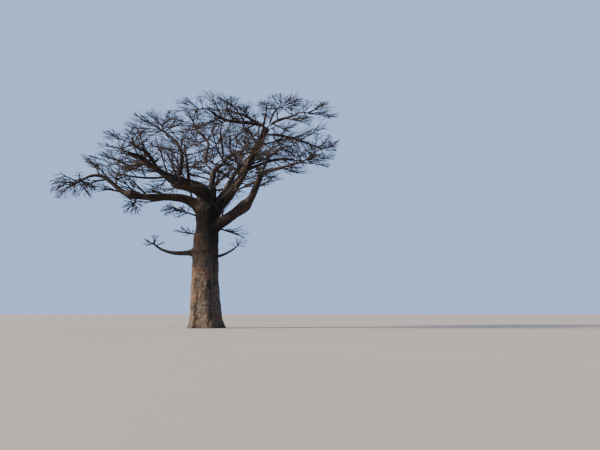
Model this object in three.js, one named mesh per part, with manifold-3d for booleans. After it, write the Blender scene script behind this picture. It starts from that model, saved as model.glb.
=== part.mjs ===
// A bare baobab: a thick fluted trunk, boughs that fork from its top and spread into a wide
// flat crown, and at the end of each bough a mass of leafless twigs.
// +Z is up, X runs across the widest spread of the crown, and the origin is the middle of the
// flat cut under the trunk. The tables are in metres and degrees, and the solids in millimetres.
import * as THREE from "three";
import { mergeVertices } from "three/addons/utils/BufferGeometryUtils.js";
import Module from "manifold-3d";

const wasm = await Module();
wasm.setup();

const METRE = 1000;
const SEAT_GAP = 0.3; // clearance in millimetres where one piece sits on another

// The trunk
const TRUNK_HEIGHT = 9.3;
const TRUNK_BOW = 0.3; // how far the middle control point of its axis lies to the left
const FOOT_RADIUS = 1.13;
const MIDDLE_RADIUS = 0.92;
const MIDDLE_SHARE = 0.6; // the height up to which it tapers, as a share of the trunk's
const NECK_RADIUS = 0.74;
const NECK_SHARES = [0.68, 0.79]; // where it narrows to its neck
const FORK_RADIUS = 0.9;
const FORK_SHARES = [0.81, 0.92]; // where it swells under the boughs
const DOME_SHARE = 0.9; // where its top starts to close
const DOME_CLOSING = 0.9; // how far it closes, from 0 to 1
const TAPER_POWER = 1.3; // above 1 it tapers less near the ground
const FLARE = 0.2; // how far the root flare stands out at the ground
const FLARE_HEIGHT = 0.7;
const FOLDS = 5; // upright folds round the trunk
const FOLD_DEPTH = 0.035; // as a share of the radius
const FLARE_FOLD_DEPTH = 0.09; // added to it at the ground

// Each bough: its name, what carries it, how far along that it leaves, its heading and climb in
// degrees and its length in metres, how far it arches up and sways left of a straight line at
// each third of the way, and its radius at the root and at the tip.
const BOUGHS = [
  ["low_left", "trunk", 0.85, 188, 16, 5.6, [0.9, 0.45], [0, 0], [0.38, 0.21]],
  ["low_left_outer", "low_left", 1, 179, 21, 3.3, [0.05, 0.4], [0, 0], [0.2, 0.11]],
  ["left_mid", "trunk", 0.946, 221, 26, 3.4, [0.75, 0.4], [0, 0], [0.48, 0.44]],
  ["left_mid_outer", "left_mid", 1, 191, 28, 3.7, [0, 0.1], [0, 0], [0.25, 0.09]],
  ["left_mid_low", "left_mid_outer", 0.6, 137, 4, 3, [0, -0.15], [0, 0], [0.15, 0.08]],
  ["left_under", "left_mid_outer", 0.15, 215, -8, 3, [-0.1, -0.1], [0, 0], [0.1, 0.06]],
  ["left_riser", "left_mid_outer", 0.35, 246, 18, 2.7, [0.15, 0.3], [0, 0], [0.13, 0.08]],
  ["left_crest", "left_mid", 0.95, 170, 84, 3.1, [0.35, 0.45], [0, 0], [0.17, 0.1]],
  ["centre", "trunk", 0.946, 75, 63, 3.6, [0, 0], [0, 0], [0.25, 0.2]],
  ["centre_left", "centre", 0.95, 118, 55, 4.6, [0, 0], [0.3, -0.4], [0.13, 0.09]],
  ["centre_low", "centre_left", 0.15, 126, 6, 3.2, [-0.1, 0], [0, 0], [0.1, 0.06]],
  ["centre_right", "centre", 0.97, 294, 7, 4.4, [0.15, 0.25], [0, 0], [0.18, 0.1]],
  ["centre_riser", "centre_right", 0.32, 262, 66, 2.5, [0, 0.1], [0.1, 0], [0.1, 0.06]],
  ["right_main", "trunk", 0.86, 13, 58, 8.7, [-0.45, -0.28], [0, 0], [0.36, 0.26]],
  ["top_left", "right_main", 1, 193, 10, 4.5, [0, -0.3], [0, 0], [0.17, 0.08]],
  ["top_mid", "right_main", 0.99, 160, 32, 2.8, [0.1, 0.1], [0, 0], [0.13, 0.07]],
  ["top_riser", "right_main", 1, 25, 65, 1.7, [0, 0], [0, 0.1], [0.12, 0.07]],
  ["right_upper", "right_main", 0.99, 316, 13, 3, [0.25, 0.1], [0, 0], [0.13, 0.07]],
  ["right_mid", "right_main", 0.93, 18, -3, 3.9, [0.2, 0.15], [0, 0], [0.14, 0.08]],
  ["right_side", "right_main", 0.55, 9, 16, 4, [0.2, 0.3], [0, 0], [0.14, 0.08]],
  ["right_low", "trunk", 0.75, 331, 29, 3.5, [-0.08, -0.12], [0, -0.1], [0.44, 0.35]],
  ["right_low_outer", "right_low", 1, 313, 53, 2.9, [-0.2, -0.1], [0, 0], [0.29, 0.21]],
  ["right_low_side", "right_low_outer", 0.97, 330, 9, 1.7, [0.05, 0], [0, 0], [0.15, 0.1]],
  ["right_low_up", "right_low_outer", 1, 61, 56, 1.7, [0, 0], [0, 0], [0.12, 0.07]],
  ["back_left", "trunk", 0.935, 130, 33, 7.2, [0.55, 0.3], [-0.25, -0.2], [0.28, 0.14]],
  ["back_mid", "trunk", 0.946, 85, 36, 7.5, [0.4, 0.1], [-0.25, 0.1], [0.25, 0.13]],
  ["back_right", "trunk", 0.892, 60, 41, 8.6, [0.15, 0.1], [-0.3, 0.1], [0.3, 0.14]],
  ["front_left", "left_mid", 0.65, 269, 12, 3.5, [0.05, 0.05], [0, 0], [0.14, 0.09]],
  ["front_right", "right_main", 0.3, 277, 2, 4.9, [0.1, 0.05], [0, 0], [0.15, 0.09]],
  ["stub_left", "trunk", 0.59, 194, 2, 3.3, [-0.15, -0.25], [0, 0], [0.23, 0.11]],
  ["stub_right", "trunk", 0.57, 333, 8, 2.3, [-0.3, -0.25], [0, 0], [0.14, 0.07]],
];

// Each mass of twigs: its name, what carries it and how far along, the heading and climb in
// degrees and the distance in metres from there to its middle, and how far the space that it
// keeps to reaches from its middle, level and upright.
const MASSES = [
  ["left_tip", "low_left_outer", 1, 181, -34, 1.2, 1.8, 1.5],
  ["left_upper", "left_mid_outer", 1, 178, 28, 0.6, 1.7, 1.1],
  ["left_low", "left_mid_low", 1, 160, 13, 0.7, 2, 1.1],
  ["left_under", "left_under", 1, 190, 5, 0.9, 1.5, 0.9],
  ["left_riser", "left_riser", 1, 230, 20, 0.9, 2.2, 1.2],
  ["left_crest", "left_crest", 1, 175, 36, 1.3, 2.7, 1.4],
  ["centre_left", "centre_left", 1, 150, 60, 1, 2.9, 1.6],
  ["centre_low", "centre_low", 1, 115, 35, 1.6, 2.8, 1.6],
  ["centre_right", "centre_right", 1, 310, 30, 1.1, 2.7, 1.6],
  ["centre_riser", "centre_riser", 1, 280, 55, 0.7, 2.5, 1.4],
  ["top_left", "top_left", 1, 182, -2, 1.3, 2.3, 1.1],
  ["top_mid", "top_mid", 1, 150, 22, 1.1, 2.5, 1],
  ["top_riser", "top_riser", 1, 10, 35, 0.7, 2.3, 1],
  ["right_upper", "right_upper", 1, 338, -6, 1.1, 2.2, 1],
  ["right_mid", "right_mid", 1, 15, -16, 1.3, 2, 1.4],
  ["right_side", "right_side", 1, 10, 8, 1.4, 2.4, 1.6],
  ["right_low_side", "right_low_side", 1, 330, 10, 1.2, 2.3, 1.5],
  ["right_low_up", "right_low_up", 1, 40, 60, 0.9, 2.4, 1.5],
  ["back_left", "back_left", 1, 140, 28, 1.8, 3.2, 1.8],
  ["back_mid", "back_mid", 1, 100, 30, 1.6, 3.2, 1.8],
  ["back_right", "back_right", 1, 50, 28, 1.6, 3.2, 1.8],
  ["front_left", "front_left", 1, 262, 35, 1.7, 3, 1.7],
  ["front_right", "front_right", 1, 285, 35, 1.8, 3, 1.7],
  ["stub_left", "stub_left", 1, 180, 40, 0.6, 0.9, 0.7],
  ["stub_right", "stub_right", 1, 335, 40, 0.5, 0.8, 0.6],
  ["trunk_left", "trunk", 0.85, 197, 14, 1.9, 1.3, 0.8],
  ["trunk_low", "trunk", 0.72, 160, 8, 1.2, 1, 0.6],
  ["low_left_drop", "low_left", 0.93, 240, -60, 0.9, 0.9, 0.9],
];

// How a bough and the stem of a mass are shaped
const BOUGH_SIDES = 8;
const BOUGH_RINGS = 1.2; // rings for each metre of length
const COLLAR = 0.35; // how far a bough swells at its root, as a share of its radius there
const COLLAR_REACH = 1.5; // how far the swelling goes along it, in radii
const SIDE_STEM_RADIUS = 0.07; // of a stem that stands on the side of its bough, in metres
const SIDE_STEM_SINK = 0.6; // where such a stem starts, as a share of the bough's radius
const STEM_SHARE = 0.85; // the radius of any other stem, as a share of its bough's tip
const STEM_TAPER = 0.35; // the share of its radius that a stem loses on the way
const STEM_SIDES = 5;

// How the twigs of a mass branch
const LEADERS = 6; // main twigs of a mass, which spread to the edge of its space
const SMALL_MASS = 1; // a mass that reaches less far than this has fewer
const SMALL_LEADERS = 3;
const SIDE_TWIGS = 3; // on each leader
const TWIG_SIDES = 3;
const LEADER_SHARE = 0.5; // a leader's radius at its root, as a share of the stem's there
const ROOT_SHARE = 0.42; // a side twig's radius at its root, as a share of its parent's there
const TWIG_TAPER = 0.7; // the power of the rest of the way that a twig's radius follows
const FITS_AT = [0.4, 0.7, 1]; // shares of the way where a twig is tested
const HIGHEST = 0.95; // the height of the first leader's tip, as a share of the reach upright
const HEIGHT_SPAN = 1.5; // and how much lower the lowest one's is
const LAST_FORK = 0.97; // how far along the stem the leader leaves that points on from it
const FORK_SPAN = 0.3; // and how much sooner one leaves that points square to it
const LEAST_REACH = 0.4; // a leader that has to be shorter than this is left out
const REACH_STEP = 0.1; // how much shorter it is at each try
const LEADER_BOW = 0.15; // how far a leader's middle goes the stem's way, as a share of its length
const LEADER_SAG = 0.08; // and how far it sags
const FIRST_SIDE = 0.25; // where along its parent the first side twig may leave
const SIDE_SPAN = 0.7; // the share of its parent that side twigs leave from
const NEAR_LONGER = 1.15; // how much longer a side twig is near its parent's root
const FAR_SHORTER = 0.5; // and how much shorter towards its tip
const UNEVEN = 0.4; // how uneven the lengths of side twigs are
const EDGE_REACH = 0.95; // how far out a leader ends at most, as a share of its space's reach
const FACING_BACK = 0.75; // a leader that would point back at its bough more than this is left out
const SIDE_LENGTH = 0.55; // a side twig's length, as a share of its parent's
const SHORTER = [1, 0.65, 0.42]; // the lengths that a side twig tries, as shares of the wanted one
const LEAST_OPEN = 35; // degrees between a side twig and its parent, at least
const MORE_OPEN = 30; // and how many degrees more, at most
const LIFT = 0.1; // how much a side twig turns up at its root
const TIP_LIFT = 0.1; // and in its outer half
const WANDER = 0.8; // how much it strays in its outer half
const DEAL = [0.7548777, 0.5698403]; // steps that deal any number of points evenly over a square
const SPACE_MARGIN = 0.06; // how much nearer its own mass than any other a twig stays
const LIMB_MARGIN = 0.03; // how far a twig stays from every bough, in metres

const UP = new THREE.Vector3(0, 0, 1);

// The place of the twig with this index among its fellows: two shares, each from 0 to 1.
function dealt(index) {
  return DEAL.map((step) => (0.5 + index * step) % 1);
}

// A way through space from a heading and a climb in degrees.
function towards(heading, climb) {
  const turn = THREE.MathUtils.degToRad(heading);
  const lift = THREE.MathUtils.degToRad(climb);
  return new THREE.Vector3(
    Math.cos(lift) * Math.cos(turn),
    Math.cos(lift) * Math.sin(turn),
    Math.sin(lift),
  );
}

// A draw between 0 and 1 that is always the same for the same twig and purpose.
function draw(key, purpose) {
  let mixed = Math.imul(key ^ Math.imul(purpose + 1, 0x9e3779b1), 0x85ebca6b) >>> 0;
  mixed = Math.imul(mixed ^ (mixed >>> 13), 0xc2b2ae35) >>> 0;
  return ((mixed ^ (mixed >>> 16)) >>> 0) / 2 ** 32;
}

// The key that the draws of a twig's own side twig start from.
function childKey(key, index) {
  const mixed = Math.imul(key ^ Math.imul(index + 1, 0x27d4eb2f), 0x165667b1) >>> 0;
  return (mixed ^ (mixed >>> 15)) >>> 0;
}

// A tube of unit radius, or a unit cone, from y = -1/2 to y = 1/2, with its vertices merged.
function unitTube(sides, rings, topRadius) {
  const tube = new THREE.CylinderGeometry(topRadius, 1, 1, sides, rings);
  tube.deleteAttribute("normal");
  tube.deleteAttribute("uv");
  return mergeVertices(tube);
}

// The geometry's triangles as a solid that can be joined and cut.
function solidOf(geometry) {
  return new wasm.Manifold(
    new wasm.Mesh({
      numProp: 3,
      vertProperties: geometry.attributes.position.array,
      triVerts: new Uint32Array(geometry.index.array),
    }),
  );
}

// Points along a curve with two directions square to it, carried along without twist.
function framesAlong(curve, rings) {
  const frames = [];
  let across = null;
  for (let ring = 0; ring <= rings; ring++) {
    const tangent = curve.getTangent(ring / rings);
    if (!across) {
      const other = Math.abs(tangent.z) < 0.9 ? UP : new THREE.Vector3(1, 0, 0);
      across = other.clone();
    }
    across = across.clone().addScaledVector(tangent, -across.dot(tangent)).normalize();
    const side = new THREE.Vector3().crossVectors(across, tangent);
    frames.push({ point: curve.getPoint(ring / rings), tangent, across, side });
  }
  return frames;
}

// A solid that follows a curve given in metres, with the radius in metres that radiusAt gives
// for each share of the way, grown all round and at both ends by some millimetres.
function follow(curve, radiusAt, sides, rings, { pointed = false, grow = 0 } = {}) {
  const tube = unitTube(sides, rings, pointed ? 0 : 1);
  const frames = framesAlong(curve, rings);
  const place = tube.attributes.position;
  const moved = new THREE.Vector3();
  for (let i = 0; i < place.count; i++) {
    const share = place.getY(i) + 0.5;
    const frame = frames[Math.round(share * rings)];
    const reach = radiusAt(share) * METRE + grow;
    const past = grow * (Math.floor(share) - Math.floor(1 - share));
    moved.copy(frame.point).multiplyScalar(METRE);
    moved.addScaledVector(frame.tangent, past);
    moved.addScaledVector(frame.across, place.getX(i) * reach);
    moved.addScaledVector(frame.side, place.getZ(i) * reach);
    place.setXYZ(i, moved.x, moved.y, moved.z);
  }
  return solidOf(tube);
}

// The largest body of a solid: scraps that a cut leaves are dropped.
function largestBody(solid) {
  const bodies = solid.decompose();
  return bodies.reduce((best, body) => (body.volume() > best.volume() ? body : best));
}

// The trunk's radius at a share of its height, without its folds.
function trunkRadius(share) {
  const height = share * TRUNK_HEIGHT;
  const flare = FLARE * Math.exp(-height / FLARE_HEIGHT);
  const taper = (FOOT_RADIUS - MIDDLE_RADIUS) * Math.min(1, share / MIDDLE_SHARE) ** TAPER_POWER;
  const neck = (MIDDLE_RADIUS - NECK_RADIUS) * THREE.MathUtils.smoothstep(share, ...NECK_SHARES);
  const swell = (FORK_RADIUS - NECK_RADIUS) * THREE.MathUtils.smoothstep(share, ...FORK_SHARES);
  const dome = Math.max(0, (share - DOME_SHARE) / (1 - DOME_SHARE));
  const closing = Math.sqrt(1 - DOME_CLOSING * dome ** 2);
  return (FOOT_RADIUS - taper - neck + swell + flare) * closing;
}

// The trunk: level rings on a bowed axis, set closer at the ground and at the fork, grown all
// round and at its top by some millimetres.
function makeTrunk(grow = 0) {
  const sides = 20;
  const rings = 14;
  const tube = unitTube(sides, rings, 1);
  const place = tube.attributes.position;
  for (let i = 0; i < place.count; i++) {
    const even = place.getY(i) + 0.5;
    const share = 0.5 - 0.5 * Math.cos(Math.PI * even);
    const turn = Math.atan2(place.getZ(i), place.getX(i));
    const low = Math.exp((-share * TRUNK_HEIGHT) / FLARE_HEIGHT);
    const fold = 1 + (FOLD_DEPTH + FLARE_FOLD_DEPTH * low) * Math.cos(FOLDS * turn);
    const reach = trunkRadius(share) * fold * METRE + grow;
    const axis = trunkAxis.getPoint(share);
    const x = axis.x * METRE + place.getX(i) * reach;
    const y = axis.y * METRE - place.getZ(i) * reach;
    const past = grow * Math.floor(even);
    place.setXYZ(i, x, y, axis.z * METRE + past);
  }
  return solidOf(tube);
}

const trunkAxis = new THREE.QuadraticBezierCurve3(
  new THREE.Vector3(0, 0, 0),
  new THREE.Vector3(-TRUNK_BOW, TRUNK_BOW / 3, TRUNK_HEIGHT / 2),
  new THREE.Vector3(0, 0, TRUNK_HEIGHT),
);

// Everything that carries something: its curve, its radius along it, and how to make it grown.
const limbs = new Map();
limbs.set("trunk", { curve: trunkAxis, radiusAt: trunkRadius, make: makeTrunk, solid: makeTrunk() });

// A bough's curve: a Bezier curve whose handles give the arch and the sway at its thirds.
function boughCurve(root, heading, climb, length, arch, sway) {
  const way = towards(heading, climb);
  const over = towards(heading, climb + 90);
  const left = towards(heading + 90, 0);
  const handle = (third, own, other) =>
    root
      .clone()
      .addScaledVector(way, (length * (third + 1)) / 3)
      .addScaledVector(over, 3 * arch[own] - 1.5 * arch[other])
      .addScaledVector(left, 3 * sway[own] - 1.5 * sway[other]);
  const tip = root.clone().addScaledVector(way, length);
  return new THREE.CubicBezierCurve3(root, handle(0, 0, 1), handle(1, 1, 0), tip);
}

// A bough's solid, with its collar where it leaves what carries it.
function makeBough(curve, length, radii, grow = 0) {
  const rings = Math.max(4, Math.round(length * BOUGH_RINGS));
  return follow(curve, boughRadius(length, radii), BOUGH_SIDES, rings, { grow });
}

function boughRadius(length, [root, tip]) {
  return (share) => {
    const collar = COLLAR * root * Math.exp((-share * length) / (COLLAR_REACH * root));
    return THREE.MathUtils.lerp(root, tip, share) + collar;
  };
}

for (const [name, carrier, at, heading, climb, length, arch, sway, radii] of BOUGHS) {
  const from = limbs.get(carrier);
  const root = from.curve.getPoint(at);
  const curve = boughCurve(root, heading, climb, length, arch, sway);
  const make = (grow) => makeBough(curve, length, radii, grow);
  let solid = make();
  for (const other of limbs.values()) {
    solid = solid.subtract(other.make(SEAT_GAP));
  }
  limbs.set(name, { curve, radiusAt: boughRadius(length, radii), make, solid: largestBody(solid) });
}

// Every limb as short straight stretches with a radius each, for testing a twig's points.
const limbStretches = [];
for (const { curve, radiusAt } of limbs.values()) {
  const parts = 10;
  for (let i = 0; i < parts; i++) {
    const line = new THREE.Line3(curve.getPoint(i / parts), curve.getPoint((i + 1) / parts));
    limbStretches.push({ line, radius: radiusAt((i + 0.5) / parts) });
  }
}

function clearOfLimbs(point, radius) {
  const nearest = new THREE.Vector3();
  return limbStretches.every((stretch) => {
    stretch.line.closestPointToPoint(point, true, nearest);
    return nearest.distanceTo(point) > stretch.radius + radius + LIMB_MARGIN;
  });
}

// The spaces of the masses. A point belongs to the mass whose middle is nearest, with each
// distance counted in that mass's own reach.
const spaces = MASSES.map(([name, carrier, at, heading, climb, out, level, upright]) => {
  const from = limbs.get(carrier);
  const way = towards(heading, climb);
  const root = from.curve.getPoint(at);
  if (at < 1) root.addScaledVector(way, SIDE_STEM_SINK * from.radiusAt(at));
  const middle = root.clone().addScaledVector(way, out);
  const reach = new THREE.Vector3(level, level, upright);
  return { name, carrier, at, way, root, middle, reach, out };
});

function farness(space, point) {
  return point.clone().sub(space.middle).divide(space.reach).length();
}

function inSpace(space, point) {
  const own = farness(space, point);
  if (own > 1) return false;
  return spaces.every((other) => other === space || farness(other, point) > own + SPACE_MARGIN);
}

// A twig: a curve that tapers to a point from its root's radius.
function twig(base, bend, tip, radius, key) {
  const curve = new THREE.QuadraticBezierCurve3(base, bend, tip);
  const length = base.distanceTo(tip);
  return { curve, length, radius, key, radiusAt: (share) => radius * (1 - share) ** TWIG_TAPER };
}

function twigFits(space, { curve, radius }) {
  return FITS_AT.every((share) => {
    const point = curve.getPoint(share);
    return inSpace(space, point) && clearOfLimbs(point, radius);
  });
}

// The stem of a mass goes on from its bough, or stands on the side of it, and ends in its middle.
function stemOf(space) {
  const from = limbs.get(space.carrier);
  const start = space.at < 1 ? space.way : from.curve.getTangent(1);
  const radius = space.at < 1 ? SIDE_STEM_RADIUS : STEM_SHARE * from.radiusAt(1);
  const base = space.root.clone().addScaledVector(start, -radius);
  const bend = space.root.clone().addScaledVector(start, 0.5 * space.out);
  const curve = new THREE.QuadraticBezierCurve3(base, bend, space.middle);
  return { curve, start, radiusAt: (share) => radius * (1 - STEM_TAPER * share) };
}

// The leaders of a mass spread from its stem to points dealt evenly over the edge of its space.
function leadersOf(space, stem, key) {
  const count = space.reach.x < SMALL_MASS ? SMALL_LEADERS : LEADERS;
  const back = space.root.clone().sub(space.middle).divide(space.reach).normalize();
  const leaders = [];
  for (let i = 0; i < count; i++) {
    const [up, round] = dealt(i);
    const height = HIGHEST - HEIGHT_SPAN * up;
    const turn = 2 * Math.PI * (round + draw(key, 0));
    const level = Math.sqrt(1 - height ** 2);
    const way = new THREE.Vector3(Math.cos(turn) * level, Math.sin(turn) * level, height);
    const facing = way.dot(back);
    if (facing > FACING_BACK) continue;
    const share = LAST_FORK - FORK_SPAN * (1 + facing);
    const base = stem.curve.getPoint(share);
    for (let reach = EDGE_REACH; reach > LEAST_REACH; reach -= REACH_STEP) {
      const tip = way.clone().multiply(space.reach).multiplyScalar(reach).add(space.middle);
      const length = base.distanceTo(tip);
      const bend = base.clone().lerp(tip, 0.5).addScaledVector(stem.start, LEADER_BOW * length);
      bend.z -= LEADER_SAG * length;
      const radius = LEADER_SHARE * stem.radiusAt(share);
      const leader = twig(base, bend, tip, radius, childKey(key, i));
      if (!twigFits(space, leader)) continue;
      leaders.push(leader);
      break;
    }
  }
  return leaders;
}

// The side twigs of a twig are dealt evenly along it and round it.
function sideTwigsOf(space, parent, count) {
  const twigs = [];
  for (let i = 0; i < count; i++) {
    const key = childKey(parent.key, i);
    const [onwards, round] = dealt(i);
    const share = FIRST_SIDE + SIDE_SPAN * onwards;
    const base = parent.curve.getPoint(share);
    const tangent = parent.curve.getTangent(share);
    const side = new THREE.Vector3().crossVectors(tangent, UP).normalize();
    const over = new THREE.Vector3().crossVectors(side, tangent);
    const turn = 2 * Math.PI * (round + draw(parent.key, 0));
    const open = THREE.MathUtils.degToRad(LEAST_OPEN + MORE_OPEN * draw(key, 1));
    const way = tangent.clone().multiplyScalar(Math.cos(open));
    way.addScaledVector(side, Math.cos(turn) * Math.sin(open));
    way.addScaledVector(over, Math.sin(turn) * Math.sin(open));
    way.z += LIFT;
    way.normalize();
    const wander = new THREE.Vector3(draw(key, 2), draw(key, 3), draw(key, 4)).subScalar(0.5);
    const onward = way.clone().addScaledVector(wander, WANDER);
    onward.addScaledVector(UP, TIP_LIFT).normalize();
    const even = SIDE_LENGTH * parent.length * (NEAR_LONGER - FAR_SHORTER * share);
    const wanted = even * (1 + UNEVEN * (draw(key, 5) - 0.5));
    for (const length of SHORTER.map((part) => part * wanted)) {
      const bend = base.clone().addScaledVector(way, 0.5 * length);
      const tip = bend.clone().addScaledVector(onward, 0.5 * length);
      const sideTwig = twig(base, bend, tip, ROOT_SHARE * parent.radiusAt(share), key);
      if (!twigFits(space, sideTwig)) continue;
      twigs.push(sideTwig);
      break;
    }
  }
  return twigs;
}

// A mass: its stem, leaders and side twigs fused in one solid, cut clear of what carries it.
function makeMass(space, index) {
  const stem = stemOf(space);
  const key = childKey(1, index);
  let solid = follow(stem.curve, stem.radiusAt, STEM_SIDES, 2);
  for (const leader of leadersOf(space, stem, key)) {
    solid = solid.add(follow(leader.curve, leader.radiusAt, TWIG_SIDES, 2, { pointed: true }));
    for (const { curve, radiusAt } of sideTwigsOf(space, leader, SIDE_TWIGS)) {
      solid = solid.add(follow(curve, radiusAt, TWIG_SIDES, 1, { pointed: true }));
    }
  }
  return largestBody(solid.subtract(limbs.get(space.carrier).make(SEAT_GAP)));
}

const bark = new THREE.MeshStandardMaterial({ color: 0x6b584c, roughness: 0.92, metalness: 0 });
const twigBark = new THREE.MeshStandardMaterial({ color: 0x4b4039, roughness: 0.95, metalness: 0 });

// A named mesh from a solid.
function meshOf(name, solid, material) {
  const { vertProperties, triVerts } = solid.getMesh();
  const geometry = new THREE.BufferGeometry();
  geometry.setAttribute("position", new THREE.BufferAttribute(vertProperties, 3));
  geometry.setIndex(new THREE.BufferAttribute(triVerts, 1));
  const mesh = new THREE.Mesh(geometry, material);
  mesh.name = name;
  return mesh;
}

const baobab = new THREE.Group();
for (const [name, { solid }] of limbs) {
  baobab.add(meshOf(name === "trunk" ? name : `bough_${name}`, solid, bark));
}
spaces.forEach((space, index) => {
  baobab.add(meshOf(`twigs_${space.name}`, makeMass(space, index), twigBark));
});

export default baobab;
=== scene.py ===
"""The looks of a bare baobab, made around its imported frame.

The trunk and the thick boughs become one mesh with folded, lumpy bark, and the thin boughs
another. Each mass of twigs is grown again by the rule of its solid and carried on to finer
twigs, and side limbs with twigs of their own grow along the boughs. Lengths are in metres, +Z
is up, and the origin is the middle of the flat cut under the trunk.
"""

import math
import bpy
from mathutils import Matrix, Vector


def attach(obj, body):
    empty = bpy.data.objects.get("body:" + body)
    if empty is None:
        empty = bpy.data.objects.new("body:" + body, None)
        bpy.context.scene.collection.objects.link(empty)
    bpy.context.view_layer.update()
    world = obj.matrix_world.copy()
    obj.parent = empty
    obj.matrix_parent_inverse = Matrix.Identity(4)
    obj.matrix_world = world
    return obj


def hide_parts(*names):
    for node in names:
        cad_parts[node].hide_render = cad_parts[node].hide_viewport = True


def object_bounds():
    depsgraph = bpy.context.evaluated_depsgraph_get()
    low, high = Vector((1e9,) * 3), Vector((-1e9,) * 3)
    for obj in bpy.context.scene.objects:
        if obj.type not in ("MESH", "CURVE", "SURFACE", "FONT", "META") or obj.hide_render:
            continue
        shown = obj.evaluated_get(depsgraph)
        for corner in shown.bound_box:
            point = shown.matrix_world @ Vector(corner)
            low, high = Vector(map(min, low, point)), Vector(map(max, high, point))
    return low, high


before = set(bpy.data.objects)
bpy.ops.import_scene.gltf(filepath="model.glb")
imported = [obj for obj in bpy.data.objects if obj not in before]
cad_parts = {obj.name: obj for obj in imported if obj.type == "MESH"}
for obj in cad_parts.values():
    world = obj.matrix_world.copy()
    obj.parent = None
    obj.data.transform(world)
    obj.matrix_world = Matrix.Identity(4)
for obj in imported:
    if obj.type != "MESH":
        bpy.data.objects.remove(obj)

from types import SimpleNamespace as Record

import bpy
import numpy as np

CAD_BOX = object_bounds()

# The camera, which gives the photograph's view
LENS = 36  # mm
SENSOR_WIDTH = 36  # mm
CAMERA_DISTANCE = 44.17
CAMERA_HEIGHT = 1
CAMERA_YAW = 8.83  # degrees to the right of the trunk
CAMERA_PITCH = 8.43  # degrees up
VIEW_DEPTH = 2000

# The light, a low sun from the left and a blue sky, and the floor
SUN_HEADING = 184  # degrees
SUN_CLIMB = 27  # degrees
SUN_ENERGY = 12.5
SUN_COLOUR = (1, 0.87, 0.71)
SUN_SPREAD = 12  # degrees across, for soft shadows
SKY_COLOUR = (0.42, 0.61, 1, 1)
SKY_STRENGTH = 1.08
FLOOR_REACH = 900  # each way from the trunk
FLOOR_DROP = 0.002  # how far the floor lies below the cut

# The trunk
TRUNK_HEIGHT = 9.3
TRUNK_BOW = 0.3  # how far the middle control point of its axis lies to the left
FOOT_RADIUS = 1.13
MIDDLE_RADIUS = 0.92
MIDDLE_SHARE = 0.6  # the share of its height up to which it tapers
NECK_RADIUS = 0.74
NECK_SHARES = (0.68, 0.79)  # where it narrows to its neck
FORK_RADIUS = 0.9
FORK_SHARES = (0.81, 0.92)  # where it swells under the boughs
DOME_SHARE = 0.9  # where its top starts to close
DOME_CLOSING = 0.9  # how far it closes, from 0 to 1
TAPER_POWER = 1.3  # above 1 it tapers less near the ground
FLARE = 0.2  # how far the root flare stands out at the ground
FLARE_HEIGHT = 0.7
FOLDS = 5  # upright folds round the trunk
FOLD_DEPTH = 0.035  # as a share of the radius
FLARE_FOLD_DEPTH = 0.09  # added to it at the ground

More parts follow.
